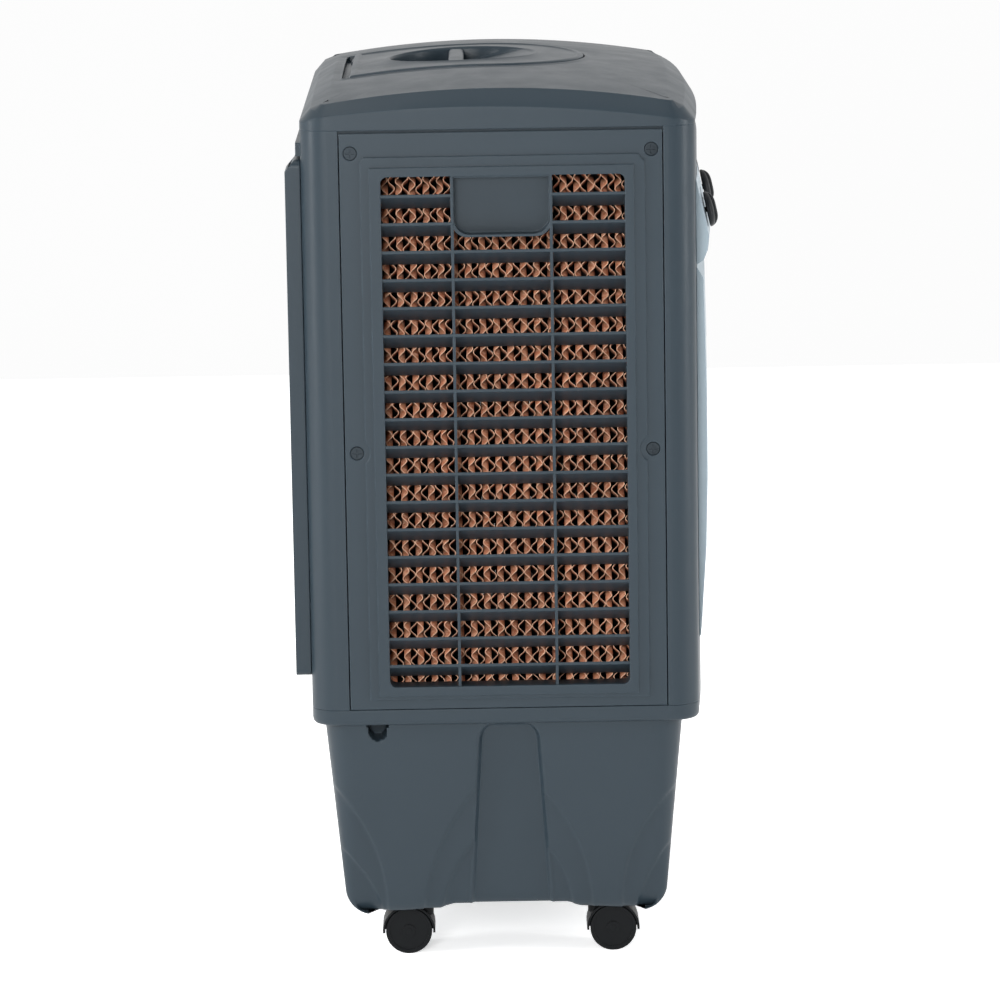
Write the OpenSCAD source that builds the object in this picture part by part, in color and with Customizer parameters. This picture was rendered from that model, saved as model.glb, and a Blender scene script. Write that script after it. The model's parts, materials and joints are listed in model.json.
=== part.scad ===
// Evaporative cooler: a rolling cabinet with a water tank, three wetted pads, a fan and swinging louvres.
// Millimetres, +Z up, floor at Z = 0, front towards -Y. Shapes are drawn about the middle of the cabinet
// and placed() moves them so that the whole object is centred front to back.

/* [Cabinet] */
// Width across the corner posts
body_w = 610; // [600:1:616]
// Depth over the corner posts
body_d = 414; // [412:1:416]
// Plan radius of the corner posts
corner_r = 29; // [26:1:31]
// How far the front bows out at its middle
front_bow = 11; // [9:0.5:12]
// Thickness of the moulded walls
wall = 3; // [2.5:0.25:3.25]
// Height of the seam between the tank rim and the panels
panel_z = 285.5; // [285:0.25:286]
// Height of the seam under the top cover
cover_z = 904; // [902:0.5:905]
// Highest point of the crowned top
crest_z = 958; // [957:0.5:959]
// Radius of the crown from front to rear
crown_r = 750; // [740:5:780]

/* [Tank] */
// Width of the tank just under its rim
tank_w = 594; // [590:1:596]
// Depth of the tank just under its rim
tank_d = 383.6; // [380:0.2:385]
// Height of the tank's underside at the casters
tank_z = 55; // [54.5:0.25:57]
// Height of the lower edge of the rim
rim_z = 268; // [266:1:270]
// Inward lean of the tank walls for each millimetre down
draft = 0.095; // [0.09:0.005:0.1]

/* [Side grilles] */
// Number of slats in a grille
slats = 18; // [16:1:18]
// Distance from slat to slat
slat_pitch = 29.5; // [29:0.1:29.6]
// Height of the front edge of the top slat
slat_top_z = 836.3; // [834:0.1:838]
// Width of the grille opening
grille_w = 255; // [250:1:256]
// Distance between the two upright bars
bar_gap = 103.4; // [100:0.2:105]

/* [Cooling pads] */
// Thickness of each corrugated pad
pad_t = 50; // [40:1:50]

/* [Lid] */
// Width of the filling lid
lid_w = 258; // [254:1:262]
// Length of the lid's round nose
lid_nose = 105; // [100:1:108]

/* [Knobs] */
// Diameter of a control knob
knob_d = 38; // [34:1:40]
// Distance between knobs
knob_gap = 205; // [190:1:206]
// Lean of the control panel from upright, in degrees
panel_lean = 12.2; // [12:0.1:12.4]

/* [Louvres] */
// Number of horizontal louvres and of upright vanes
blades = 6; // [6:1:6]
// Distance between horizontal louvres
louver_pitch = 48; // [46:1:48]
// Distance between upright vanes
vane_pitch = 60; // [56:1:62]

/* [Fan] */
// Radius of the impeller
fan_r = 166; // [150:1:167]
// Number of impeller blades
fan_blades = 5; // [3:1:6]

/* [Casters] */
// Wheel radius
wheel_r = 25; // [24:0.5:25]
// Distance from the swivel axis to the axle
trail = 15; // [12:1:18]
// Half the distance between left and right swivel axes
caster_x = 226; // [224:1:230]
// Half the distance between front and rear swivel axes
caster_y = 96; // [90:1:100]

/* [Hidden] */
$fn = 64;
fine_fn = 720;        // for the very large radii of the bow and the crown
fit = 0.05;           // radial clearance of a running fit

slate = [0.30, 0.36, 0.39];
dark_slate = [0.24, 0.29, 0.32];
near_black = [0.13, 0.15, 0.17];
silver_blue = [0.70, 0.74, 0.77];
pad_brown = [0.55, 0.33, 0.22];
pump_white = [0.86, 0.87, 0.86];
steel = [0.66, 0.67, 0.68];

side_x = body_w / 2;
end_y = 204;          // from the lid's and grilles' middle to the front corner posts
rear_y = body_d - end_y;
knob_front_y = -end_y - 34.1; // foremost point, on the middle knob
grille_rear_y = rear_y + 16.5; // rearmost point, on the rear grille
body_y = -(knob_front_y + grille_rear_y) / 2;

bow_half = side_x - corner_r - 6;
bow_r = (bow_half * bow_half + front_bow * front_bow) / (2 * front_bow);
bow_centre_y = -end_y - front_bow + bow_r;
skin_y = -end_y - front_bow - 0.25;  // just clear of the bowed front, at its middle

seam_y = 169.6;       // parting line between a corner post and the side panel
post_top_z = cover_z - 0.3;
panel_half_y = seam_y - 1.2;
panel_top_z = cover_z - 3.5;
opening_y = -1.5;     // middle of the side grille opening
opening_z = [310.5, 855];
pad_z = [302, 860];
side_pad_x = side_x - 77;

lid_rear_y = 160;
lid_mid_y = 10;       // where the lid's straight sides meet its round nose
grip_y = 39;          // middle of the round grip dish
grip_r = 78;
hinge_y = 160;
hinge_x = 96;         // middle of each hinge barrel
ear_x = [79.5, 112.5];
hinge_z = 938;
pin_r = 1.5;

tank_y = 5.5;           // middle of the tank, front to back
fan_z = 515;
duct_x = 211;         // half width of the air duct
duct_z = [365, 665];
louver_y = -190;
louver_z0 = fan_z - louver_pitch * (blades - 1) / 2;
vane_y = -148;
vane_x0 = -vane_pitch * (blades - 1) / 2;
crank = 15;           // from a blade's pivot to its crank pin
link_x = 60;
link_z = 515;

fascia_x = 250;       // half width of the control panel and of the outlet bezel
knob_z = 803;
knob_y = -end_y - 19.8;
knob_h = 12.5;

riser = [-180, 120];  // the pump's riser pipe, in plan
valve_y = 140;
valve_z = 245;
arm_droop = 25;

// ---- helpers ----
module placed() translate([0, body_y, 0]) children();

module block(low, high) translate(low) cube(high - low);

module x_rod(r, len) rotate([0, 90, 0]) cylinder(r = r, h = len, center = true);

module y_rod(r, len) rotate([90, 0, 0]) cylinder(r = r, h = len, center = true);

// an outline drawn in Y and Z, made len long along X
module along_x(len) rotate([90, 0, 90]) linear_extrude(len, center = true) children();

// an outline drawn in X and Z, made len long along Y
module along_y(len) rotate([90, 0, 0]) linear_extrude(len, center = true) children();

module round_rect(w, d, r) {
    square([w - 2 * r, d], center = true);
    square([w, d - 2 * r], center = true);
    for (sx = [-1, 1], sy = [-1, 1])
        translate([sx * (w / 2 - r), sy * (d / 2 - r)]) circle(r);
}

// the disc whose edge is the bowed front, grown outwards
module bow_disc(grow) translate([0, bow_centre_y]) circle(bow_r + grow, $fn = fine_fn);

module body_plan(inset) {
    translate([0, (rear_y - end_y) / 2])
        round_rect(body_w - 2 * inset, body_d - 2 * inset, corner_r - inset);
    intersection() {
        bow_disc(-inset);
        translate([-bow_half - 3, -end_y - 20]) square([2 * bow_half + 6, end_y]);
    }
}

// front to rear section: rounded nose, crown and rear chamfer
module side_outline(inset) translate([0, -1.5 * inset]) intersection() {
    translate([0, crest_z - crown_r]) circle(crown_r, $fn = fine_fn);
    polygon([[rear_y, 200], [rear_y, 911], [rear_y - 32, 941], [152, 964], [-130, 964], [-160, 944],
        [-180, 928], [-204, 908], [-216, 868], [-216, 200]]);
}

// side to side section: chamfered shoulders under a slow rise
module cross_outline(inset) translate([0, -1.3 * inset])
    polygon([[side_x, 200], [side_x, 927], [side_x - 13, 944], [150, 954.5], [0, crest_z + 1],
        [-150, 954.5], [-side_x + 13, 944], [-side_x, 927], [-side_x, 200]]);

// the cabinet's outer form between two heights
module envelope(inset, z0, z1 = 966) intersection() {
    translate([0, 0, z0]) linear_extrude(z1 - z0) body_plan(inset);
    along_x(body_w + 2) side_outline(inset);
    along_y(2 * body_d) cross_outline(inset);
}

// plan of the filling lid: a straight rear edge and an elliptical nose
module lid_plan(grow) polygon(concat(
    [[lid_w / 2 + grow, lid_rear_y + grow], [-lid_w / 2 - grow, lid_rear_y + grow]],
    [for (a = [180:-7.5:0]) [(lid_w / 2 + grow) * cos(a), lid_mid_y - (lid_nose + grow) * sin(a)]]));

module lid_column(grow) translate([0, 0, cover_z - 10]) linear_extrude(80) lid_plan(grow);

// ---- tank ----
function tank_in(z) = (rim_z - z) * draft;

module tank_slab(z, inset, h = 0.5) translate([0, tank_y, z]) linear_extrude(h)
    round_rect(tank_w - 2 * (tank_in(z) + inset), tank_d - 2 * (tank_in(z) + inset), 30, $fn = 32);

module tank_shell() difference() {
    union() {
        hull() {
            tank_slab(panel_z - 1, 0);
            tank_slab(tank_z + 18, 0);
            tank_slab(tank_z + 6, 4);
            tank_slab(tank_z, 13);
        }
        translate([0, 0, rim_z + 4]) linear_extrude(panel_z - 0.3 - rim_z - 4) body_plan(0);
        translate([0, 0, rim_z]) linear_extrude(4) body_plan(2);
    }
    hull() {
        tank_slab(panel_z + 1, wall);
        tank_slab(tank_z + 18, wall);
        tank_slab(tank_z + wall + 0.5, 13);
    }
}

module water_tank() color(slate) difference() {
    union() {
        tank_shell();
        caster_spots() translate([0, 0, 1]) cylinder(r = 11, h = 35);
    }
    rim_groove();
    hose_notch();
    caster_spots() translate([0, 0, -1]) cylinder(r = 5.5 + fit, h = 31);
    translate([0, 120, tank_z - 1]) cylinder(r = 9.6, h = 8);
    translate([tank_w / 2, valve_y, valve_z]) x_rod(7.1, 40);
    translate([0, -tank_d / 2, 175]) cube([24, 60, 110], center = true);
}

module caster_spots() for (sx = [-1, 1], sy = [-1, 1])
    translate([sx * caster_x, 1 + sy * caster_y, tank_z]) children();

// the rim is a down-turned lip: its inside is open from below
module rim_groove() translate([0, 0, rim_z - 1]) linear_extrude(14.5) difference() {
    body_plan(wall);
    translate([0, tank_y]) round_rect(tank_w + 6, tank_d + 6, 33);
}

module hose_notch() along_x_at(-side_x) {
    translate([140.6, rim_z - 9]) circle(9.5);
    translate([131.1, rim_z - 9]) square([19, 8.5]);
    translate([129.5, rim_z - 4]) square([22.2, 3.5]);
}

module along_x_at(x) translate([x, 0, 0]) along_x(60) children();

module drain_plug() color(near_black) translate([0, 120, 0]) {
    translate([0, 0, tank_z - 6]) cylinder(r = 15, h = 5.8);
    translate([0, 0, tank_z - 1]) cylinder(r = 9.5, h = 9);
}

module level_window() color([0.75, 0.82, 0.86])
    translate([0, tank_y - tank_d / 2 + tank_in(175) - 1.35, 175])
        rotate([atan(draft), 0, 0]) along_y(2.4) round_rect(34, 122, 6);

// ---- cabinet ----
module post_flange(y) for (s = [-1, 1])
    block([s > 0 ? side_x - 22 : -side_x + 1.5, y, panel_z], [s > 0 ? side_x - 1.5 : -side_x + 22, y + wall,
        post_top_z]);

module front_housing() color(slate) {
    difference() {
        intersection() {
            envelope(0, panel_z, post_top_z);
            block([-side_x, -300, 0], [side_x, -seam_y, 1000]);
        }
        envelope(wall, panel_z - 1, cover_z + 30);
        block([-duct_x - 5.5, -260, duct_z[0] - 6], [duct_x + 5.5, -150, duct_z[1] + 6]);
        block([-235, -260, 762], [235, -150, 828]);
    }
    post_flange(-seam_y - wall);
}

module rear_housing() color(slate) {
    difference() {
        union() {
            intersection() {
                envelope(0, panel_z, post_top_z);
                block([-side_x, seam_y, 0], [side_x, 300, 1000]);
            }
            block([-275, rear_y - 1, 875], [275, rear_y + 5, 889]);
        }
        envelope(wall, panel_z - 1, cover_z + 30);
        block([-226, 150, 300], [226, 260, 862]);
        translate([230, rear_y, 301]) y_rod(6, 20);
    }
    post_flange(seam_y);
}

module top_cover() color(slate) {
    difference() {
        union() {
            difference() {
                envelope(0, cover_z);
                envelope(3.5, cover_z - 1);
            }
            intersection() {
                difference() {
                    envelope(0, cover_z);
                    envelope(8, cover_z - 1);
                }
                lid_column(9);
            }
            cover_bosses();
        }
        lid_column(1);
        block([-lid_w / 2 - 1, lid_rear_y - 1, cover_z - 5], [lid_w / 2 + 1, hinge_y + 5, 990]);
        for (s = [-1, 1])
            translate([s * hinge_x, hinge_y, hinge_z]) x_rod(3.7, 25);
    }
    lid_ledge();
    for (s = [-1, 1], x = ear_x)
        translate([s * x, hinge_y, hinge_z]) hinge_ear();
}

module lid_ledge() intersection() {
    difference() {
        envelope(6.2, cover_z);
        envelope(8, cover_z - 1);
    }
    difference() {
        lid_column(4);
        lid_column(-8);
    }
    block([-300, -300, 0], [300, hinge_y - 8, 1000]);
}

module hinge_ear() difference() {
    union() {
        x_rod(3, 6);
        translate([-3, 0, -3]) cube([6, 9, 4]);
    }
    x_rod(pin_r + 0.02, 10);
}

module cover_bosses() intersection() {
    envelope(0, cover_z);
    for (s = [-1, 1], y = [0, 110])
        translate([s * 166, y, 924.8]) cylinder(r = 5, h = 30);
}

module ice_basin() color(dark_slate) difference() {
    union() {
        block([-116, -80, 890], [116, 142, 924.5]);
        block([-172, -20, 922], [172, 130, 924.5]);
    }
    block([-113.5, -77.5, 892.5], [113.5, 139.5, 930]);
    for (x = [-90, 0, 90], y = [-30, 90])
        translate([x, y, 880]) cylinder(r = 4, h = 20);
}

module top_lid() color(slate) difference() {
    union() {
        intersection() {
            difference() {
                envelope(0, cover_z);
                envelope(4, cover_z - 1);
            }
            lid_column(0);
            block([-300, -300, 0], [300, hinge_y, 1000]);
        }
        intersection() {
            envelope(0, cover_z);
            translate([0, grip_y, 933]) cylinder(r = grip_r + 4, h = 60);
        }
        for (s = [-1, 1])
            translate([s * hinge_x, hinge_y, hinge_z]) x_rod(3, 24);
    }
    grip_hollow_rear();
    grip_hollow_front();
    for (s = [-1, 1]) {
        translate([s * hinge_x, hinge_y, hinge_z]) x_rod(pin_r + fit, 60);
        for (x = ear_x)
            translate([s * x, hinge_y, hinge_z]) cube([7.2, 7.4, 12], center = true);
    }
}

module grip_hollow_rear() intersection() {
    translate([0, grip_y, 936]) cylinder(r = grip_r, h = 60);
    block([-90, 54, 900], [90, 140, 1000]);
}

// the floor climbs from the grip bar to the rim of the dish
module grip_hollow_front() intersection() {
    translate([0, grip_y, 936]) cylinder(r = grip_r, h = 60);
    block([-90, -60, 900], [90, 37, 1000]);
    translate([-90, 37, 938]) rotate([-14, 0, 0]) translate([0, -120, 0]) cube([180, 120, 60]);
}

module lid_hinge_pins() color(steel) for (s = [-1, 1])
    translate([s * hinge_x, hinge_y, hinge_z]) x_rod(pin_r, 44);

// ---- grilles ----
// one slat's section: an upright nose and a blade that falls away inwards
module slat_section(depth, drop) polygon([[0, 0], [0, -3], [depth, -drop - 2.6], [depth, -drop]]);

module grille_opening(grow) translate([opening_y, (opening_z[0] + opening_z[1]) / 2])
    round_rect(grille_w + 2 * grow, opening_z[1] - opening_z[0] + 2 * grow, 7);

module pocket_outline(grow) {
    half = bar_gap / 2 - 1.5 + grow;
    translate([-half, 810]) square([2 * half, 43 + grow]);
    translate([-half + 17, 793 - grow]) square([2 * half - 34, 40]);
    for (s = [-1, 1])
        translate([s * (half - 17), 810 - grow]) circle(17);
}

screw_spots = [[157, 880], [-157, 880], [156, 563], [-156, 563]];

// X runs inwards from the outer face here, so the same grille serves both sides when mirrored
module side_grille() translate([-side_x, 0, 0]) difference() {
    union() {
        grille_plate();
        for (k = [0:slats - 1])
            slat(k);
        for (s = [-1, 1])
            translate([0, s * bar_gap / 2, 0]) block([-2, -1.5, opening_z[0] - 1], [20, 1.5, opening_z[1] + 1]);
        translate([8, 0, 0]) along_x(18) pocket_outline(2.5);
        for (p = screw_spots)
            translate([6, p[0], p[1]]) x_rod(9, 12);
    }
    translate([2, 0, 0]) along_x(26) pocket_outline(0);
    for (p = screw_spots) {
        translate([0, p[0], p[1]]) x_rod(7.5, 5);
        translate([4, p[0], p[1]]) x_rod(2.1, 18);
    }
}

module grille_plate() difference() {
    union() {
        block([0, -panel_half_y, panel_z + 0.6], [wall, panel_half_y, panel_top_z]);
        difference() {
            block([-2, opening_y - 148.5, 296.4], [wall, opening_y + 148.5, 875.5]);
            for (p = screw_spots)
                translate([-2, p[0], p[1]]) x_rod(14, 4);
        }
        block([-4, opening_y - 137, 300.6], [0, opening_y + 139, 864.5]);
        translate([12, 0, 0]) along_x(22) grille_opening(2.5);
        pad_retainer();
    }
    along_x(80) grille_opening(0);
}

module pad_retainer() difference() {
    block([1, -152.5, 297], [55, 152.5, 864.5]);
    block([-1, -150, 299.5], [56, 150, 862]);
}

module slat(k) {
    z = slat_top_z - k * slat_pitch;
    y0 = opening_y - grille_w / 2 - 1;
    y1 = opening_y + grille_w / 2 + 1;
    spans = k < 2 ? [[y0, -bar_gap / 2], [bar_gap / 2, y1]] : [[y0, y1]];
    for (s = spans)
        translate([-2.5, (s[0] + s[1]) / 2, z]) along_y(s[1] - s[0]) slat_section(25, 15);
}

// two proud side rails, with the louvred field set back between them
module rear_grille() color(slate) translate([0, grille_rear_y, 0]) difference() {
    translate([0, -8.1, 594.5]) along_y(16.2) round_rect(560, 553, 8);
    block([-224, -9, 300], [224, 1, 880]);
    for (s = [-1, 1])
        translate([s * 252, -8.5, 594.5]) cube([49, 11, 545], center = true);
    along_x(600) polygon([[-11, 872], [1, 872], [1, 859], [0, 859]]);
    translate([0, -12, 593]) difference() {
        along_y(40) round_rect(444, 526, 6);
        for (k = [0:16])
            translate([0, 2.2, slat_top_z - 593 - k * slat_pitch]) mirror([0, 1, 0]) along_x(446)
                slat_section(12, 10);
        for (x = [-133.2, -44.4, 44.4, 133.2])
            translate([x, -2.5, 0]) cube([3, 11, 530], center = true);
    }
    for (x = [-262, 262], z = [345, 844]) {
        translate([x, -0.5, z]) y_rod(7.5, 4);
        translate([x, -7.5, z]) y_rod(2.1, 20);
    }
}

// a pan-head screw whose head faces local -X and whose shank runs towards +X
module panel_screw() difference() {
    union() {
        translate([1.25, 0, 0]) x_rod(6.5, 2.3);
        translate([6.4, 0, 0]) x_rod(2, 8);
    }
    cube([1.6, 9.5, 1.5], center = true);
    cube([1.6, 1.5, 9.5], center = true);
}

module grille_screws() color(near_black) {
    for (s = [-1, 1], p = screw_spots)
        translate([s * side_x, p[0], p[1]]) rotate([0, 0, s > 0 ? 180 : 0]) panel_screw();
    for (x = [-262, 262], z = [345, 844])
        translate([x, grille_rear_y, z]) rotate([0, 0, -90]) panel_screw();
}

// ---- cooling ----
module side_pad() block([-side_pad_x - pad_t, -148, pad_z[0]], [-side_pad_x, 148, pad_z[1]]);

module cooling_pad_rear() color(pad_brown) block([-222, 200 - pad_t, pad_z[0]], [222, 200, pad_z[1]]);

module water_distributor() color(dark_slate) difference() {
    trough(0, 866, 884);
    trough(2, 868, 882);
    for (s = [-1, 1], y = [-130:20:130])
        translate([s * (side_pad_x + pad_t / 2), y, 860]) cylinder(r = 1.5, h = 10, $fn = 24);
    for (x = [-200:20:200])
        translate([x, 200 - pad_t / 2, 860]) cylinder(r = 1.5, h = 10, $fn = 24);
    translate([riser[0], riser[1], 860]) cylinder(r = 7 + fit, h = 10);
}

module trough(inset, z0, z1) {
    for (s = [-1, 1]) {
        near = s * (side_pad_x + inset);
        far = s * (side_pad_x + pad_t - inset);
        block([min(near, far), -150 + inset, z0], [max(near, far), 198 - inset, z1]);
    }
    block([-side_pad_x - pad_t + inset, 200 - pad_t + inset, z0], [side_pad_x + pad_t - inset, 198 - inset, z1]);
    block([-side_pad_x - 10, 105 + inset, z0], [riser[0] + 15 - inset, 200 - pad_t + 10, z1]);
}

module pump() color(pump_white) translate([riser[0], riser[1], 0]) {
    translate([0, 0, tank_z + 4]) cylinder(r = 26, h = 40);
    translate([0, 0, tank_z + 44]) cylinder(r = 16, h = 8);
    translate([0, 0, tank_z + 52]) cylinder(r = 5, h = 16);
}

module riser_pipe() color(near_black) translate([riser[0], riser[1], tank_z + 53]) difference() {
    cylinder(r = 7, h = 870 - tank_z - 53);
    translate([0, 0, -1]) cylinder(r = 5 + fit, h = 900);
}

module float_valve() color(pump_white) difference() {
    union() {
        translate([281.5, valve_y, valve_z]) x_rod(7, 32);
        translate([302.5, valve_y, valve_z]) x_rod(6, 12);
        block([256, valve_y - 9, valve_z - 9], [286, valve_y + 9, valve_z + 9]);
    }
    block([250, valve_y - 4, valve_z - 12], [274, valve_y + 4, valve_z + 12]);
    translate([264, valve_y, valve_z]) y_rod(2 + fit, 30);
}

module arm_frame() translate([264, valve_y, valve_z]) rotate([0, -arm_droop, 0]) children();

module float_arm() color(steel) arm_frame() difference() {
    union() {
        y_rod(4.5, 7);
        y_rod(2, 20);
        translate([-35, 0, 0]) x_rod(2, 66);
    }
}

module float_ball() color([0.85, 0.35, 0.2]) arm_frame() translate([-62, 0, 0]) rotate([0, 90, 0])
    rotate_extrude() intersection() {
        circle(22);
        translate([2.02, -22]) square([22, 44]);
    }

// ---- fan ----
module fan_shroud() color(dark_slate) translate([0, 0, fan_z]) difference() {
    union() {
        block([-224, -100, 296 - fan_z], [224, -97, 862 - fan_z]);
        translate([0, -104, 0]) y_rod(175, 40);
        block([-221, -199, -179], [221, -99, 179]);
    }
    translate([0, -104, 0]) y_rod(172, 50);
    block([-218, -200, -176], [218, -100, 176]);
}

module motor_bracket() color(steel) translate([0, 0, fan_z]) difference() {
    union() {
        for (s = [-1, 1]) {
            block([-200, -80, s * 38 - 8], [200, -76, s * 38 + 8]);
            for (x = [-192, 192])
                translate([x, -88.2, s * 38]) y_rod(6, 17);
        }
        translate([0, -78, 0]) y_rod(50, 4);
    }
    translate([0, -78, 0]) y_rod(12, 10);
}

module fan_motor() color(steel) translate([0, 0, fan_z]) difference() {
    union() {
        translate([0, -40, 0]) y_rod(46, 71.8);
        translate([0, 2, 0]) y_rod(18, 14);
    }
    translate([0, -50, 0]) y_rod(5 + fit, 60);
}

module fan_shaft() color(steel) translate([0, -76, fan_z]) y_rod(5, 90);

module fan_impeller() color(dark_slate) translate([0, -104, fan_z]) difference() {
    union() {
        y_rod(42, 30);
        intersection() {
            for (i = [0:fan_blades - 1])
                rotate([0, i * 360 / fan_blades, 0]) translate([fan_r / 2 + 15, 0, 0])
                    rotate([28, 0, 0]) cube([fan_r, 3.5, 66], center = true);
            y_rod(fan_r, 36);
        }
    }
    y_rod(5 + 0.02, 60);
}

// ---- front ----
// an outline in Y and Z, swept along the bow of the front and trimmed to the width of the fascia
module along_bow(half_w) intersection() {
    translate([0, bow_centre_y, 0]) rotate_extrude($fn = fine_fn)
        translate([bow_centre_y, 0]) mirror([1, 0]) children();
    block([-half_w, -end_y - 50, 300], [half_w, -end_y + 10, 900]);
}

module control_panel() color(silver_blue) difference() {
    along_bow(fascia_x) polygon([[skin_y, 751], [-217, 751], [-223, 755], [-227.4, 766], [-228.8, 780],
        [-216, 839], [skin_y, 841]]);
    along_bow(fascia_x - wall) polygon([[-200, 754], [-216, 754], [-220.5, 757.5], [-224.4, 767],
        [-225.8, 780], [-213, 836], [-200, 836]]);
    for (i = [-1:1])
        knob_frame(i) cylinder(r = 3 + fit, h = 40, center = true);
}

module outlet_bezel() color(silver_blue) difference() {
    union() {
        along_bow(fascia_x) polygon([[skin_y, 348], [-217, 350], [-219.5, 388], [-223, 440],
            [-225, 520], [-224.8, 620], [-222.5, 736], [skin_y, 748]]);
        intersection() {
            block([-duct_x - wall, -end_y - 20, duct_z[0] - wall], [duct_x + wall, -128, duct_z[1] + wall]);
            translate([0, 0, 300]) linear_extrude(600) bow_disc(3);
        }
    }
    block([-duct_x, -300, duct_z[0]], [duct_x, -100, duct_z[1]]);
    for (i = [0:blades - 1]) {
        translate([0, louver_y, louver_z0 + i * louver_pitch]) x_rod(2.5 + fit, 2 * duct_x + 20);
        translate([vane_x0 + i * vane_pitch, vane_y, fan_z]) cylinder(r = 2.5 + fit, h = 320, center = true);
    }
}

// local +Z is a knob's turning axis and the origin is on the panel's surface
module knob_frame(i) translate([i * knob_gap, knob_y + pow(i * knob_gap, 2) / (2 * bow_r), knob_z])
    rotate([90 - panel_lean, 0, 0]) children();

module knob(i) color(near_black) knob_frame(i) {
    translate([0, 0, 1.6]) cylinder(r = knob_d / 2, h = 1);
    translate([0, 0, 2.6]) cylinder(r1 = knob_d / 2, r2 = knob_d / 2 - 11, h = knob_h - 3.6);
    intersection() {
        translate([0, 0, 2.6]) cylinder(r1 = knob_d / 2, r2 = knob_d / 2 - 9, h = knob_h - 2.6);
        translate([-4, -knob_d / 2, 2]) cube([8, knob_d, knob_h]);
    }
    translate([0, 0, -14]) cylinder(r = 3, h = 16);
}

module rotary_switches() color(near_black) for (i = [-1:1])
    knob_frame(i) translate([0, 0, -22]) difference() {
        translate([0, 0, 7.5]) cube([28, 26, 17], center = true);
        cylinder(r = 3 + 2 * fit, h = 40);
    }

module electrical_box() color(pump_white) difference() {
    block([90, -160, 720], [210, -106, 850]);
    block([92.5, -157.5, 722.5], [207.5, -108.5, 847.5]);
}

module swing_motor() color(steel) translate([60, -150, 342]) {
    cylinder(r = 14, h = 14);
    translate([0, 0, 13]) cylinder(r = 3, h = 5);
}

module cord_gland() color(near_black) translate([230, rear_y, 301]) difference() {
    union() {
        translate([0, 4, 0]) y_rod(9, 7.8);
        y_rod(5.9, 12);
    }
    y_rod(3.6, 40);
}

// ---- louvres ----
module horizontal_louver(i) color(dark_slate)
    translate([0, louver_y, louver_z0 + (i - 1) * louver_pitch]) {
        difference() {
            union() {
                along_x(2 * duct_x - 3) round_rect(36, 3, 1.4);
                x_rod(2.5, 2 * duct_x + 5);
            }
            translate([link_x, 15, 0]) cube([10, 18, 12], center = true);
        }
        translate([link_x, crank, 0]) x_rod(1.5, 12);
    }

module louver_link() color(near_black) translate([link_x, louver_y + crank, 0]) difference() {
    block([-2, -3.5, louver_z0 - 6], [2, 3.5, louver_z0 + louver_pitch * (blades - 1) + 6]);
    for (i = [0:blades - 1])
        translate([0, 0, louver_z0 + i * louver_pitch]) x_rod(1.5 + fit, 10);
}

module vertical_vane(i) color(dark_slate) translate([vane_x0 + (i - 1) * vane_pitch, vane_y, fan_z]) {
    difference() {
        union() {
            linear_extrude(duct_z[1] - duct_z[0] - 3, center = true) round_rect(2.6, 34, 1.2);
            cylinder(r = 2.5, h = duct_z[1] - duct_z[0] + 5, center = true);
        }
        translate([0, 14, link_z - fan_z]) cube([12, 17, 10], center = true);
    }
    translate([0, crank - 2, link_z - fan_z]) cylinder(r = 1.5, h = 12, center = true);
}

module vane_link() color(near_black) translate([0, vane_y + crank - 2, link_z]) difference() {
    block([vane_x0 - 6, -3.5, -2], [-vane_x0 + 6, 3.5, 2]);
    for (i = [0:blades - 1])
        translate([vane_x0 + i * vane_pitch, 0, 0]) cylinder(r = 1.5 + fit, h = 10, center = true);
}

// ---- casters, numbered rear left, rear right, front left, front right ----
function caster_side(n) = n % 2 == 1 ? -1 : 1;
function caster_end(n) = n < 3 ? 1 : -1;

module caster_place(n) translate([caster_side(n) * caster_x, 1 + caster_end(n) * caster_y, 0])
    rotate([0, 0, caster_end(n) > 0 ? 0 : 180]) children();

module caster_fork(n) color(near_black) caster_place(n) {
    difference() {
        union() {
            intersection() {
                translate([0, trail, wheel_r]) x_rod(28.5, 39);
                block([-30, -60, wheel_r - 2], [30, 60, 80]);
            }
            translate([0, 0, 40]) cylinder(r = 12, h = 14.4);
            translate([0, trail, wheel_r]) x_rod(12, 6.4);
        }
        for (s = [-1, 1])
            translate([s * 14.7, trail, wheel_r]) x_rod(26.2, 23);
        translate([0, trail, wheel_r]) x_rod(3 + fit, 20);
    }
    translate([0, 0, 50]) cylinder(r = 5.5, h = 33);
}

module caster_wheels(n) color(near_black) caster_place(n) translate([0, trail, wheel_r]) {
    x_rod(3, 38);
    for (s = [-1, 1])
        translate([s * 11.2, 0, 0]) difference() {
            x_rod(wheel_r, 15);
            translate([s * 7.5, 0, 0]) difference() {
                x_rod(wheel_r - 4, 2);
                x_rod(7, 4);
            }
        }
}

placed() water_tank();
placed() drain_plug();
placed() level_window();
placed() front_housing();
placed() rear_housing();
placed() top_cover();
placed() ice_basin();
placed() top_lid();
placed() lid_hinge_pins();
placed() color(slate) side_grille();  // side_grille_left
placed() color(slate) mirror([1, 0, 0]) side_grille();  // side_grille_right
placed() rear_grille();
placed() grille_screws();
placed() color(pad_brown) side_pad();  // cooling_pad_left
placed() color(pad_brown) mirror([1, 0, 0]) side_pad();  // cooling_pad_right
placed() cooling_pad_rear();
placed() water_distributor();
placed() pump();
placed() riser_pipe();
placed() float_valve();
placed() float_arm();
placed() float_ball();
placed() fan_shroud();
placed() motor_bracket();
placed() fan_motor();
placed() fan_shaft();
placed() fan_impeller();
placed() outlet_bezel();
placed() control_panel();
placed() rotary_switches();
placed() electrical_box();
placed() swing_motor();
placed() cord_gland();
placed() knob(-1);  // knob_speed
placed() knob(0);  // knob_function
placed() knob(1);  // knob_timer
placed() horizontal_louver(1);  // horizontal_louver_1
placed() horizontal_louver(2);  // horizontal_louver_2
placed() horizontal_louver(3);  // horizontal_louver_3
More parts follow.
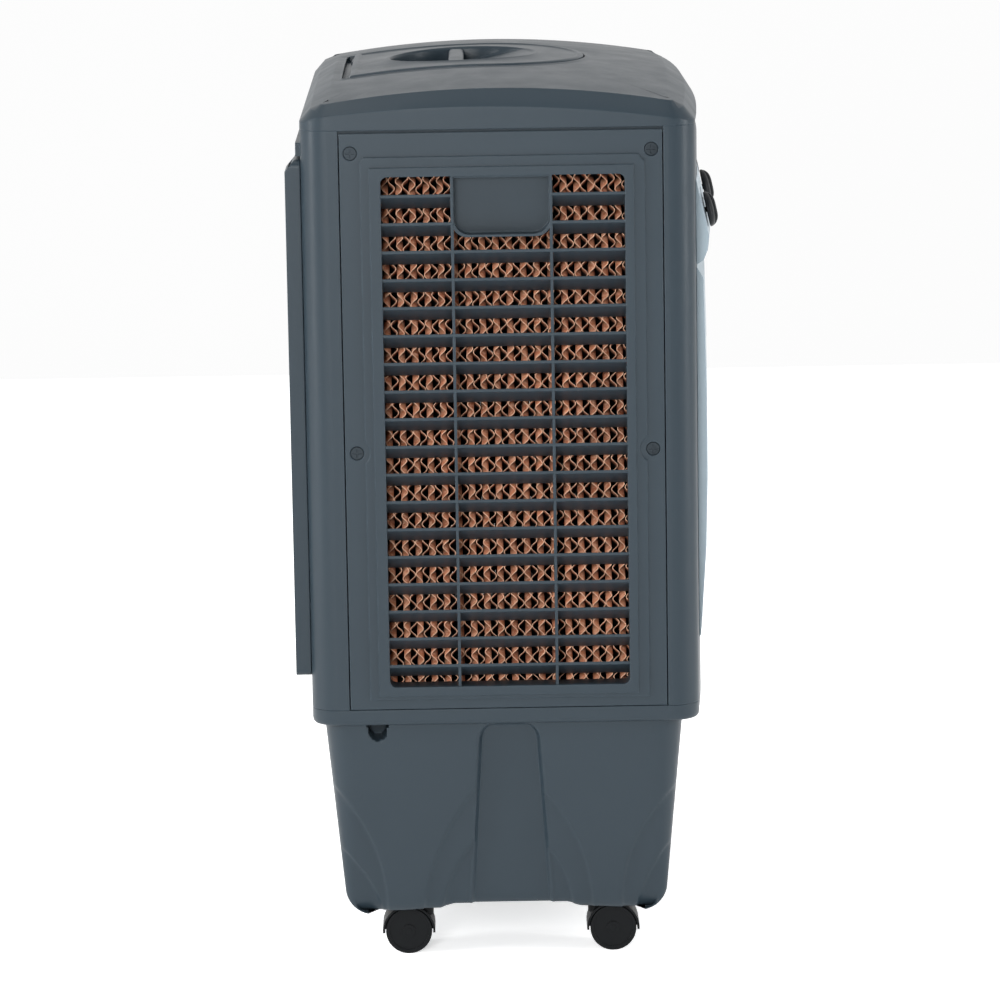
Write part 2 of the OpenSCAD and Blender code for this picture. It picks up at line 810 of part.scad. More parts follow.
placed() horizontal_louver(4);  // horizontal_louver_4
placed() horizontal_louver(5);  // horizontal_louver_5
placed() horizontal_louver(6);  // horizontal_louver_6
placed() louver_link();
placed() vertical_vane(1);  // vertical_vane_1
placed() vertical_vane(2);  // vertical_vane_2
placed() vertical_vane(3);  // vertical_vane_3
placed() vertical_vane(4);  // vertical_vane_4
placed() vertical_vane(5);  // vertical_vane_5
placed() vertical_vane(6);  // vertical_vane_6
placed() vane_link();
placed() caster_fork(1);  // caster_fork_1
placed() caster_fork(2);  // caster_fork_2
placed() caster_fork(3);  // caster_fork_3
placed() caster_fork(4);  // caster_fork_4
placed() caster_wheels(1);  // caster_wheels_1
placed() caster_wheels(2);  // caster_wheels_2
placed() caster_wheels(3);  // caster_wheels_3
placed() caster_wheels(4);  // caster_wheels_4
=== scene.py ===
import json
import math
import random

import bpy
from mathutils import Matrix, Vector


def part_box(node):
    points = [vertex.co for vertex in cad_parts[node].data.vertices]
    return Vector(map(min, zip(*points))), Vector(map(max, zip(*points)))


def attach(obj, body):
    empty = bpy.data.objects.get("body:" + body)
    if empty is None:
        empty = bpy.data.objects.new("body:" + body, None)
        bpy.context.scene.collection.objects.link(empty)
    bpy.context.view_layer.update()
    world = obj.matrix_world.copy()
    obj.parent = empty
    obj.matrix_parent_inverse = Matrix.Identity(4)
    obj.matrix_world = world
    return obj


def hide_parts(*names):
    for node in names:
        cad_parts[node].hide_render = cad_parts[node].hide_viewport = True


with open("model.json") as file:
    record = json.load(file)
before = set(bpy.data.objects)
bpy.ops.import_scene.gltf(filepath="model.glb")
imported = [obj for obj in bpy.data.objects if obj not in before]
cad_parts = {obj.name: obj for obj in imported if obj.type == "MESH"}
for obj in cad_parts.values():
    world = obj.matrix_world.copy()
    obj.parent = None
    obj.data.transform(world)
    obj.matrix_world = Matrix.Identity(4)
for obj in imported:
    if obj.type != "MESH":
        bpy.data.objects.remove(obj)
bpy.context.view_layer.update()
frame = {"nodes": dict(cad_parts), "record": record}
nodes = frame["nodes"]
record = frame["record"]

# Shapes are worked out in millimetres about the middle of the cabinet, then moved to the row frame.
MM = 0.001
SHIFT_Y = 5.8


def row(x, y, z):
    return (x * MM, (y + SHIFT_Y) * MM, z * MM)


# ---------------------------------------------------------------- materials

def srgb(r, g, b):
    def one(c):
        c /= 255
        return c / 12.92 if c <= 0.04045 else ((c + 0.055) / 1.055) ** 2.4
    return (one(r), one(g), one(b), 1)


def scaled(colour, k):
    return tuple(min(1, c * k) for c in colour[:3]) + (1,)


class Graph:
    """A short way to write a material's nodes."""

    def __init__(self, name):
        self.mat = bpy.data.materials.new(name)
        self.mat.use_nodes = True
        self.tree = self.mat.node_tree
        self.tree.nodes.clear()
        self.out = self.add("ShaderNodeOutputMaterial")
        self.shader = self.add("ShaderNodeBsdfPrincipled")
        self.link(self.shader.outputs["BSDF"], self.out.inputs["Surface"])
        self.coord = self.add("ShaderNodeTexCoord").outputs["Object"]

    def add(self, kind, **values):
        node = self.tree.nodes.new(kind)
        for k, v in values.items():
            setattr(node, k, v)
        return node

    def link(self, a, b):
        self.tree.links.new(a, b)

    def noise(self, scale, detail=3, rough=0.55, stretch=None):
        n = self.add("ShaderNodeTexNoise")
        n.inputs["Scale"].default_value = scale
        n.inputs["Detail"].default_value = detail
        n.inputs["Roughness"].default_value = rough
        source = self.coord
        if stretch:
            m = self.add("ShaderNodeMapping")
            m.inputs["Scale"].default_value = stretch
            self.link(self.coord, m.inputs["Vector"])
            source = m.outputs["Vector"]
        self.link(source, n.inputs["Vector"])
        return n.outputs["Fac"]

    def remap(self, value, lo, hi, a, b):
        m = self.add("ShaderNodeMapRange")
        for k, v in zip(("From Min", "From Max", "To Min", "To Max"), (lo, hi, a, b)):
            m.inputs[k].default_value = v
        self.link(value, m.inputs["Value"])
        return m.outputs["Result"]

    def mix(self, factor, a, b):
        m = self.add("ShaderNodeMix", data_type="RGBA")
        self.link(factor, m.inputs[0])
        for value, socket in ((a, m.inputs[6]), (b, m.inputs[7])):
            if isinstance(value, tuple):
                socket.default_value = value
            else:
                self.link(value, socket)
        return m.outputs[2]

    def math(self, kind, a, b):
        m = self.add("ShaderNodeMath", operation=kind)
        for value, socket in ((a, m.inputs[0]), (b, m.inputs[1])):
            if isinstance(value, (int, float)):
                socket.default_value = value
            else:
                self.link(value, socket)
        return m.outputs[0]

    def bump(self, height, strength, distance, normal=None):
        b = self.add("ShaderNodeBump")
        b.inputs["Strength"].default_value = strength
        b.inputs["Distance"].default_value = distance
        self.link(height, b.inputs["Height"])
        if normal is not None:
            self.link(normal, b.inputs["Normal"])
        return b.outputs["Normal"]


def moulded(name, colour, rough=0.42, grain=0.3, radius=0.8, wear_and_highlight=1.35, speckle=0.05, spec=0.2):
    """Moulded plastic: slow tone drift, a fine spark-eroded grain, softened edges, and paler edges that are partly
    rubbed wear and partly a painted highlight.
    """
    g = Graph(name)
    slow = g.noise(5.5, 4)
    tone = g.mix(g.remap(slow, 0.3, 0.7, 0, 1), scaled(colour, 0.97), scaled(colour, 1.04))
    fleck = g.noise(420, 2)
    tone = g.mix(g.remap(fleck, 0.62, 0.8, 0, speckle * 6), tone, scaled(colour, 1.3))
    soft = g.add("ShaderNodeBevel", samples=4)
    soft.inputs["Radius"].default_value = radius * MM
    face = g.add("ShaderNodeNewGeometry")
    dot = g.add("ShaderNodeVectorMath", operation="DOT_PRODUCT")
    g.link(soft.outputs["Normal"], dot.inputs[0])
    g.link(face.outputs["Normal"], dot.inputs[1])
    edge = g.remap(dot.outputs["Value"], 0.99, 0.8, 0, 1)
    # paler edges: partly rubbed wear, partly a painted highlight that makes every edge look as if it catches the
    # light
    edge_wear_and_highlight = g.math("MULTIPLY", edge, g.remap(g.noise(60, 3), 0.35, 0.7, 0.25, 1))
    tone = g.mix(edge_wear_and_highlight, tone, scaled(colour, wear_and_highlight))
    g.link(tone, g.shader.inputs["Base Color"])
    g.link(g.remap(g.noise(28, 5), 0.3, 0.7, rough - 0.03, rough + 0.04), g.shader.inputs["Roughness"])
    g.link(g.bump(g.noise(1500, 2), grain, 0.12 * MM, soft.outputs["Normal"]), g.shader.inputs["Normal"])
    g.shader.inputs["Specular IOR Level"].default_value = spec
    return g.mat


def cellulose(name, axis, face):
    """Resin-stiffened paper: mottled browns, a paler band at the front face, and painted shade that turns the paper
    near black deeper in the flutes.
    """
    g = Graph(name)
    dark, mid, pale = srgb(170, 100, 70), srgb(226, 150, 112), srgb(248, 200, 168)
    patch = g.mix(g.remap(g.noise(16, 4), 0.35, 0.65, 0, 1), dark, mid)
    fibre = g.noise(340, 5, 0.7, (1, 0.35, 1))
    tone = g.mix(g.remap(fibre, 0.45, 0.72, 0, 1), patch, pale)
    streak = g.noise(9, 3, 0.5, (1, 3, 0.3))
    tone = g.mix(g.remap(streak, 0.55, 0.8, 0, 0.6), tone, scaled(dark, 0.6))
    split = g.add("ShaderNodeSeparateXYZ")
    g.link(g.coord, split.inputs[0])
    place = g.math("ABSOLUTE", split.outputs[axis], 0)
    tone = g.mix(g.remap(place, face - 1.6 * MM, face - 0.5 * MM, 0, 0.85), tone, pale)
    # painted shade: the paper darkens to near black from 3 to 17 mm behind the front face, standing in for the shade
    # deep in the flutes
    tone = g.mix(g.remap(place, face - 17 * MM, face - 3 * MM, 0, 1), scaled(dark, 0.02), tone)
    g.link(tone, g.shader.inputs["Base Color"])
    g.link(g.remap(g.noise(80, 3), 0.3, 0.7, 0.78, 0.95), g.shader.inputs["Roughness"])
    g.link(g.bump(fibre, 0.6, 0.3 * MM), g.shader.inputs["Normal"])
    g.shader.inputs["Specular IOR Level"].default_value = 0.25
    return g.mat


def metal(name, colour, rough, brushed):
    g = Graph(name)
    lines = g.noise(260, 4, 0.6, brushed)
    tone = g.mix(g.remap(lines, 0.3, 0.7, 0, 1), scaled(colour, 0.82), scaled(colour, 1.08))
    stain = g.noise(22, 4)
    tone = g.mix(g.remap(stain, 0.58, 0.8, 0, 0.5), tone, scaled(colour, 0.55))
    g.link(tone, g.shader.inputs["Base Color"])
    g.link(g.remap(lines, 0.3, 0.7, rough - 0.08, rough + 0.1), g.shader.inputs["Roughness"])
    soft = g.add("ShaderNodeBevel", samples=4)
    soft.inputs["Radius"].default_value = 0.5 * MM
    g.link(g.bump(lines, 0.25, 0.05 * MM, soft.outputs["Normal"]), g.shader.inputs["Normal"])
    g.shader.inputs["Metallic"].default_value = 1
    return g.mat


def window(name):
    """Clear moulded window, a little scuffed and cloudy."""
    g = Graph(name)
    cloud = g.noise(30, 4)
    g.link(g.mix(g.remap(cloud, 0.35, 0.7, 0, 1), srgb(196, 208, 214), srgb(226, 233, 236)),
           g.shader.inputs["Base Color"])
    g.link(g.remap(cloud, 0.3, 0.7, 0.08, 0.26), g.shader.inputs["Roughness"])
    g.link(g.bump(g.noise(700, 2), 0.1, 0.05 * MM), g.shader.inputs["Normal"])
    g.shader.inputs["Transmission Weight"].default_value = 0.85
    g.shader.inputs["IOR"].default_value = 1.49
    return g.mat


SLATE = srgb(35, 45, 52)
DARK = srgb(29, 37, 42)
BLACK = srgb(15, 18, 21)
looks = {
    "cabinet_plastic": moulded("cabinet_plastic", SLATE, 0.38, 0.35, 2.0, 1.9),
    "tank_plastic": moulded("tank_plastic", scaled(SLATE, 0.98), 0.38, 0.3, 1.6, 1.7),
    "dark_plastic": moulded("dark_plastic", DARK, 0.5, 0.3, 0.6, 1.3),
    "louver_plastic": moulded("louver_plastic", DARK, 0.42, 0.25, 0.5, 1.3),
    "fascia_plastic": moulded("fascia_plastic", srgb(132, 145, 153), 0.36, 0.12, 0.9, 1.12),
    "knob_plastic": moulded("knob_plastic", BLACK, 0.4, 0.3, 0.8, 1.5, spec=0.12),
    "pad_cellulose": cellulose("pad_cellulose", 0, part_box("cooling_pad_right")[1][0]),
    "screw_metal": metal("screw_metal", srgb(44, 49, 53), 0.42, (1, 1, 1)),
    "steel": metal("steel", srgb(176, 178, 180), 0.34, (1, 12, 1)),
    "pump_plastic": moulded("pump_plastic", srgb(216, 219, 216), 0.4, 0.2, 0.7, 1.05),
    "float_plastic": moulded("float_plastic", srgb(214, 92, 48), 0.4, 0.2, 0.7, 1.15),
    "clear_window": window("clear_window"),
    "caster_plastic": moulded("caster_plastic", srgb(11, 13, 15), 0.46, 0.3, 0.7, 1.4, spec=0.1),
    "wheel_plastic": moulded("wheel_plastic", srgb(11, 13, 15), 0.4, 0.25, 0.7, 1.6, spec=0.1),
}
dial_ink = moulded("dial_ink", srgb(70, 78, 84), 0.5, 0.2, 0.2, 1.1)

for part in record["subparts"]:
    obj = nodes[part["node"]]
    obj.data.materials.clear()
    obj.data.materials.append(looks[part["material_slot"]])


# ---------------------------------------------------------------- mesh helpers

def mesh(name, verts, faces, slot, body, stands_for=(), sharp=32, material=None):
    data = bpy.data.meshes.new(name)
    data.from_pydata([row(*v) for v in verts], [], faces)
    data.validate()
    data.materials.append(material or looks[slot])
    obj = bpy.data.objects.new(name, data)
    bpy.context.scene.collection.objects.link(obj)
    data.shade_smooth()
    data.set_sharp_from_angle(angle=math.radians(sharp))
    if stands_for:
        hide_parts(*stands_for)
    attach(obj, body)
    return obj


class Build:
    """Gathers vertices and faces of several closed shapes into one mesh."""

    def __init__(self):
        self.v, self.f = [], []

    def rings(self, rings, closed=False, caps=False):
        """Joins loops of equally many points. closed joins the last loop to the first."""
        base, n = len(self.v), len(rings[0])
        for r in rings:
            self.v += r
        last = len(rings) if closed else len(rings) - 1
        for i in range(last):
            a, b = base + i * n, base + (i + 1) % len(rings) * n
            for k in range(n):
                m = (k + 1) % n
                self.f.append((a + k, a + m, b + m, b + k))
        if caps:
            self.f.append(tuple(base + k for k in range(n))[::-1])
            self.f.append(tuple(base + (len(rings) - 1) * n + k for k in range(n)))
        return base

    def fan(self, first, n, centre, turn):
        self.v.append(centre)
        c = len(self.v) - 1
        for k in range(n):
            a, b = first + k, first + (k + 1) % n
            self.f.append((a, b, c) if turn else (b, a, c))

    def lathe(self, profile, place, n=48):
        """profile is (radius, height) pairs from the axis, round and back to the axis; place maps (x, y, z)."""
        inner = profile[1:-1]
        rings = [[place(r * math.cos(2 * math.pi * k / n), r * math.sin(2 * math.pi * k / n), h)
                  for k in range(n)] for r, h in inner]
        base = self.rings(rings)
        self.fan(base, n, place(0, 0, profile[0][1]), False)
        self.fan(base + (len(rings) - 1) * n, n, place(0, 0, profile[-1][1]), True)


def bevelled(obj, width, angle=25, segments=3):
    m = obj.modifiers.new("soft_edges", "BEVEL")
    m.width = width * MM
    m.segments = segments
    m.limit_method = "ANGLE"
    m.angle_limit = math.radians(angle)
    m.use_clamp_overlap = True
    return obj


def smooth(t):
    t = max(0, min(1, t))
    return t * t * (3 - 2 * t)


# ---------------------------------------------------------------- outlines

SIDE_X, END_Y, REAR_Y, CORNER, BOW, BOW_HALF = 305, 204, 210, 29, 11, 270


def cabinet_outline(inset=0, half_x=SIDE_X, low_y=-END_Y, high_y=REAR_Y, r=CORNER, bow=BOW,
                    side_n=40, end_n=44, corner_n=8):
    """Points and outward normals round the plan, anticlockwise from the front of the +X side."""
    out = []

    def corner(cx, cy, start):
        for k in range(corner_n + 1):
            a = math.radians(start + 90 * k / corner_n)
            out.append((cx + (r - inset) * math.cos(a), cy + (r - inset) * math.sin(a), math.cos(a), math.sin(a)))

    for k in range(1, side_n):
        out.append((half_x - inset, low_y + r + (high_y - low_y - 2 * r) * k / side_n, 1, 0))
    corner(half_x - r, high_y - r, 0)
    for k in range(1, end_n):
        out.append((half_x - r - 2 * (half_x - r) * k / end_n, high_y - inset, 0, 1))
    corner(-half_x + r, high_y - r, 90)
    for k in range(1, side_n):
        out.append((-half_x + inset, high_y - r - (high_y - low_y - 2 * r) * k / side_n, -1, 0))
    corner(-half_x + r, low_y + r, 180)
    for k in range(1, end_n):
        x = -half_x + r + 2 * (half_x - r) * k / end_n
        out.append((x, low_y + inset - bow * max(0, 1 - (x / BOW_HALF) ** 2), 0, -1))
    corner(half_x - r, low_y + r, 270)
    return out


# ---------------------------------------------------------------- top cover and lid

GRIP_Y, GRIP_R = 39, 78
LID_HALF, LID_REAR, LID_MID, LID_NOSE = 129, 160, 10, 105
HINGE_X, HINGE_Y, HINGE_Z = 96, 160, 938


def crease_z(y):
    return 944.8 - 4.65e-4 * (y - 7) ** 2


def brow_z(y):
    return 927 - 3.45e-4 * (y - 29) ** 2


def top_z(x, y):
    return crease_z(y) + 11.2 * (1 - (x / 292) ** 2)


def lid_outline(grow):
    rear = LID_REAR + (8 + 0.4 * grow if grow > 0.5 else grow)   # room behind for the lid to swing up
    pts = [(LID_HALF + grow, rear), (-LID_HALF - grow, rear)]
    for k in range(61):
        a = math.radians(180 - 3 * k)
        pts.append(((LID_HALF + grow) * math.cos(a), LID_MID - (LID_NOSE + grow) * math.sin(a)))
    return pts


def ray_hit(pts, dx, dy):
    """Where the ray from the middle of the grip dish in that direction leaves an outline."""
    best = 0
    for (ax, ay), (bx, by) in zip(pts, pts[1:] + pts[:1]):
        ex, ey = bx - ax, by - ay
        cross = dx * ey - dy * ex
        if abs(cross) < 1e-9:
            continue
        ox, oy = ax, ay - GRIP_Y
        t = (ox * ey - oy * ex) / cross
        s = (ox * dy - oy * dx) / cross
        if t > 0 and -1e-6 <= s <= 1 + 1e-6:
            best = max(best, t)
    return dx * best, GRIP_Y + dy * best


plan = cabinet_outline()
headings = []
for px, py, _, _ in plan:
    d = math.hypot(px, py - GRIP_Y)
    headings.append((px / d, (py - GRIP_Y) / d))
for sx in (1, -1):      # the lid's rear corners need a ray each
    want = math.atan2(LID_REAR - GRIP_Y, sx * LID_HALF)
    k = min(range(len(plan)), key=lambda i: abs(math.atan2(headings[i][1], headings[i][0]) - want))
    headings[k] = (math.cos(want), math.sin(want))


def lid_ring(grow, lift):
    pts = lid_outline(grow)
    ring = []
    for dx, dy in headings:
        x, y = ray_hit(pts, dx, dy)
        ring.append((x, y, top_z(x, y) + lift))
    return ring


def dish_ring(r, height):
    ring = []
    for dx, dy in headings:
        x, y = r * dx, GRIP_Y + r * dy
        ring.append((x, y, height(x, y)))
    return ring


def blend_rings(a, b, t):
    ring = []
    for p, q in zip(a, b):
        x, y = p[0] + (q[0] - p[0]) * t, p[1] + (q[1] - p[1]) * t
        ring.append((x, y, top_z(x, y)))
    return ring


def edge_ring(inset, z):
    return [(p[0], p[1], z(p)) for p in cabinet_outline(inset)]


def side_share(p):
    return p[2] * p[2]


def brow(p, drop=0):
    end = 908 if p[3] < 0 else 912
    return side_share(p) * brow_z(p[1]) + (1 - side_share(p)) * end - drop


def crease_ring(extra, drop):
    ring = []
    for p in plan:
        depth = 13 * side_share(p) + 31 * (1 - side_share(p)) + extra
        x, y = p[0] - p[2] * depth, p[1] - p[3] * depth
        ring.append((x, y, top_z(x, y) - drop))
    return ring


def mid_ring():
    """Between brow and crease, a little proud, so that the front and rear slopes are rounded."""
    ring = []
    for p, low, high in zip(plan, edge_ring(0, brow), crease_ring(0, 0)):
        k = 1 - side_share(p)
        lift = 3.5 * k
        ring.append(((low[0] + high[0]) / 2 + p[2] * lift, (low[1] + high[1]) / 2 + p[3] * lift,
                     (low[2] + high[2]) / 2 + lift))
    return ring


cover = Build()
outer = crease_ring(0, 0)
cover.rings([
    edge_ring(0, lambda p: 903.7), edge_ring(0, lambda p: brow(p, 3)), edge_ring(0, brow), mid_ring(), outer,
    blend_rings(outer, lid_ring(22, 0), 0.3), blend_rings(outer, lid_ring(22, 0), 0.65), lid_ring(22, 0),
    lid_ring(14, -0.8), lid_ring(8, -1.4), lid_ring(4, -1.1), lid_ring(1.4, -0.5), lid_ring(1, -7),
    lid_ring(-7, -7.2), lid_ring(-7, -9), lid_ring(8, -9.2),
    crease_ring(4, 5), edge_ring(7, lambda p: brow(p, 2)), edge_ring(7, lambda p: 896), edge_ring(4.2, lambda p: 896),
    edge_ring(3.8, lambda p: 903.7)], closed=True)
for sx in (-1, 1):
    for ear in (79.5, 112.5):
        cover.lathe([(0, -3), (1.6, -3), (3, -3), (3, 3), (1.6, 3), (0, 3)],
                    lambda a, b, h, x=sx * ear: (x + h, HINGE_Y + a, HINGE_Z + b), 24)
bevelled(mesh("cover_shell", cover.v, cover.f, "cabinet_plastic", "cabinet", ("top_cover",), 40), 1.6, 18)


def dish_floor(x, y):
    if y > 45:
        return 937
    return min(938 + max(0, 37 - y) * math.tan(math.radians(14)), top_z(x, y) - 0.8)


lid = Build()
shell = [
    lid_ring(-0.4, -6), lid_ring(-0.4, 0.1), lid_ring(-2, 1.1), lid_ring(-6.5, 1.2), lid_ring(-9, -0.2),
    blend_rings(lid_ring(-9, 0), dish_ring(85, top_z), 0.5), dish_ring(85, top_z),
    dish_ring(83, lambda x, y: top_z(x, y) + 0.9), dish_ring(80, lambda x, y: top_z(x, y) + 0.6),
    dish_ring(78.4, lambda x, y: max(top_z(x, y) - 1.6, dish_floor(x, y) + 0.3)),
    dish_ring(GRIP_R - 0.6, lambda x, y: min(dish_floor(x, y) + 2.2, top_z(x, y) - 0.7)),
    dish_ring(75, dish_floor), dish_ring(60, dish_floor), dish_ring(45, dish_floor),
    dish_ring(30, dish_floor), dish_ring(15, dish_floor)]
base = lid.rings(shell)
n = len(plan)
lid.fan(base + (len(shell) - 1) * n, n, (0, GRIP_Y, dish_floor(0, GRIP_Y)), True)
under = [dish_ring(15, lambda x, y: dish_floor(x, y) - 3), dish_ring(60, lambda x, y: dish_floor(x, y) - 3),
         dish_ring(80, lambda x, y: dish_floor(x, y) - 3), dish_ring(84, lambda x, y: top_z(x, y) - 4.5),
         lid_ring(-9, -5)]
base2 = lid.rings(under)
lid.fan(base2, n, (0, GRIP_Y, dish_floor(0, GRIP_Y) - 3), False)
for k in range(n):      # joins the underside's last loop to the skirt
    m = (k + 1) % n
    a = base2 + (len(under) - 1) * n
    lid.f.append((a + k, a + m, base + m, base + k))
bar = []
for k in range(25):
    x = -76.5 + 153 * k / 24
    z = top_z(x, 45) - 1.2
    bar.append([(x, 38, 933.5), (x, 37.2, z - 3), (x, 38.6, z - 0.9), (x, 41, z), (x, 50, z),
                (x, 52.4, z - 0.9), (x, 53.8, z - 3), (x, 53, 933.5)])
lid.rings(bar, caps=True)
for sx in (-1, 1):
    lid.lathe([(0, -12), (1.6, -12), (3, -12), (3, 12), (1.6, 12), (0, 12)],
              lambda a, b, h, x=sx * HINGE_X: (x + h, HINGE_Y + a, HINGE_Z + b), 24)
    lid.rings([[(sx * HINGE_X + u, y, z0) for u, y in ((-11, 154), (11, 154), (11, 159.3), (-11, 159.3))]
               for z0 in (937, 942)], caps=True)
bevelled(mesh("lid_shell", lid.v, lid.f, "cabinet_plastic", "lid", ("top_lid",), 38), 0.8, 30, 2)


# ---------------------------------------------------------------- tank

TANK_Y, TANK_HALF_X, TANK_HALF_Y = 5.5, 297, 191.8
FLOOR_Z = 55
RIM_Z, DRAFT = 268, 0.095
TANK_CORNER, SIDE_STEPS, END_STEPS = 30, 180, 40
ROW_STEP, BOTTOM_R = 2.2, 22
NOTCH_Y, NOTCH_R, NOTCH_Z = 140.6, 9.5, 250


def circle_through(a, b, c):
    (ax, ay), (bx, by), (cx, cy) = a, b, c
    d = 2 * (ax * (by - cy) + bx * (cy - ay) + cx * (ay - by))
    a2, b2, c2 = ax * ax + ay * ay, bx * bx + by * by, cx * cx + cy * cy
    ux = (a2 * (by - cy) + b2 * (cy - ay) + c2 * (ay - by)) / d
    uy = (a2 * (cx - bx) + b2 * (ax - cx) + c2 * (bx - ax)) / d
    return ux, uy, math.hypot(ax - ux, ay - uy)


# the shallow moulded steps beside the corners and beside the channel, each an arc through three points
steps = [circle_through(*p) for p in (
    ((188, 196), (150, 138), (134, 66)), ((176, 120), (156, 96), (143, 69)),
    ((33, 198), (70, 142), (93, 68)), ((39, 133), (60, 102), (73, 64)),
    ((-29, 197), (-68, 142), (-87, 68)), ((-38, 128), (-56, 99), (-65, 69)),
    ((-177, 191), (-146, 155), (-120, 64)), ((-172, 127), (-153, 102), (-137, 61)))]


def channel_edges(z):
    return 30 + (266 - z) / 16, -30 - (266 - z) / 15


def relief(y, z):
    """How far the tank's side is set in at a point."""
    left, right = channel_edges(z)
    corner = max(0, z - 248)
    round_in = 14 - math.sqrt(max(0, 14 * 14 - min(corner * 0.78, 14) ** 2))
    inside = smooth((left - round_in - y) / 5 + 0.5) * smooth((y - right - round_in) / 5 + 0.5)
    channel = 9 * inside * smooth((267 - z) / 4)
    near = steps[:4] if y > 0 else steps[4:]
    shallow = sum(2.8 * smooth((r - math.hypot(y - cy, z - cz)) / 2.6 + 0.5) for cy, cz, r in near)
    notch = 0
    if 129.5 < y < 151.7 and z > NOTCH_Z:
        drop = NOTCH_R - math.sqrt(max(0, NOTCH_R ** 2 - (y - NOTCH_Y) ** 2))
        notch = 22 * smooth((z - NOTCH_Z - drop) / 1.5) if abs(y - NOTCH_Y) < NOTCH_R or z > 264 else 0
    return max(channel, shallow * (1 - inside), notch)


def tank_loop(z, inset, carved):
    lean = (RIM_Z - z) * DRAFT
    loop = []
    low, high = TANK_Y - TANK_HALF_Y + TANK_CORNER, TANK_Y + TANK_HALF_Y - TANK_CORNER
    left, right = channel_edges(z)
    for x, y, nx, ny in cabinet_outline(lean + inset, TANK_HALF_X, TANK_Y - TANK_HALF_Y, TANK_Y + TANK_HALF_Y,
                                        TANK_CORNER, 0, SIDE_STEPS, END_STEPS, 8):
        if abs(nx) == 1:        # slides the points sideways so that they follow the channel's slanted edges
            if y > 33:
                y = left + (y - 33) * (high - left) / (high - 33)
            elif y > -38:
                y = right + (y + 38) * (left - right) / 71
            else:
                y = low + (y - low) * (right - low) / (-38 - low)
        cut = relief(y, z) * abs(nx) if carved else 0
        loop.append((x - nx * cut, y - ny * cut, z))
    return loop


def rim_loop(z, inset):
    return [(p[0], p[1], z) for p in cabinet_outline(inset, side_n=SIDE_STEPS, end_n=END_STEPS)]


def belly(y):
    """How far the underside rises between the casters."""
    return 6.5 * smooth((78 - abs(y - 1)) / 20) + 1.5 * smooth((120 - abs(y - 1)) / 30)


tank = Build()
loops = [rim_loop(285.2, 0.2), rim_loop(274, 0), rim_loop(270.5, 0.7), rim_loop(268.6, 2.4), rim_loop(268, 4.6),
         rim_loop(268.3, 7.4)]
z = RIM_Z + 0.2
while z > FLOOR_Z + 24:
    loops.append(tank_loop(z, 0.2, True))
    z -= ROW_STEP
for k in range(10):     # the bottom edge: a small radius along the sides, a large one at the corners
    a = math.radians(10 * k)
    sweep = BOTTOM_R * (1 - math.cos(a))
    low = tank_loop(FLOOR_Z + BOTTOM_R - BOTTOM_R * math.sin(a), 0.2 + sweep, True)
    loops.append([(x + math.copysign(sweep * 0.62, x) * smooth((abs(x) - 180) / 60), y,
                   z + belly(y) * (k / 9) ** 2) for x, y, z in low])
loops.append([(x * 0.9, (y - TANK_Y) * 0.88 + TANK_Y, FLOOR_Z + belly(y)) for x, y, z in loops[-1]])
base = tank.rings(loops)
n = len(loops[0])
tank.fan(base + (len(loops) - 1) * n, n, (0, TANK_Y, FLOOR_Z + 8), True)
inner = [tank_loop(285.2, 27, False), tank_loop(90, 20, False), tank_loop(FLOOR_Z + 12, 30, False)]
base2 = tank.rings(inner[::-1])
tank.fan(base2, n, (0, TANK_Y, FLOOR_Z + 12), False)
for k in range(n):
    m = (k + 1) % n
    a = base2 + 2 * n
    tank.f.append((a + k, a + m, base + m, base + k))
mesh("tank_shell", tank.v, tank.f, "tank_plastic", "cabinet", ("water_tank",), 50)


# ---------------------------------------------------------------- corrugated pads

def pad(name, node, along_y):
    """A stack of fluted sheets. Flutes of neighbouring sheets slope opposite ways through the depth."""
    lo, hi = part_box(node)
    lo, hi = [c / MM for c in lo], [c / MM for c in hi]
    rng = random.Random(node)
    depth_axis, stack_axis = (0, 1) if along_y else (1, 0)
    pitch, swing, period, thick = 7.2, 3.3, 17.0, 0.7
    step = 1.8 if along_y else 2.2
    start = lo[stack_axis] + 3.6
    count = int((hi[stack_axis] - 3.6 - start) / pitch) + 1
    front, back = lo[depth_axis] + 0.3, hi[depth_axis] - 0.3
    inward = 1 if hi[depth_axis] < 0 else -1
    built = Build()
    for i in range(count):
        middle = start + i * pitch + rng.uniform(-0.25, 0.25)
        slope = (34 if i % 2 else -18) * inward
        phase = rng.uniform(0, 2 * math.pi)
        t = lo[2] - abs(slope)
        rings = []
        while t < hi[2] + abs(slope):
            offset = swing * math.sin(2 * math.pi * t / period + phase)
            zs = [min(hi[2] - 0.3, max(lo[2] + 0.3, t + s)) for s in (0, slope)]
            ring = []
            for side, d, zz in ((-1, front, zs[0]), (-1, back, zs[1]), (1, back, zs[1]), (1, front, zs[0])):
                p = [0, 0, zz]
                p[depth_axis] = d
                p[stack_axis] = middle + offset + side * thick / 2
                ring.append((p[0], p[1] - SHIFT_Y, p[2]))
            if not rings or zs != last:
                rings.append(ring)
            last = zs
            t += step
        built.rings(rings, caps=True)
    paper = looks["pad_cellulose"] if along_y else cellulose("rear_cellulose", 1, hi[1] * MM)
    return mesh(name, built.v, built.f, "pad_cellulose", "cabinet", (node,), 60, paper)


pad("pad_sheets_left", "cooling_pad_left", True)
pad("pad_sheets_right", "cooling_pad_right", True)
pad("pad_sheets_rear", "cooling_pad_rear", False)


# ---------------------------------------------------------------- knobs and dial marks

LEAN = math.radians(12.2)
DIAL_GAP, DIAL_Z, DIAL_OUT, MARK_R = 205, 803, 19.8, 24.5
BOW_R = (BOW_HALF ** 2 + BOW ** 2) / (2 * BOW)


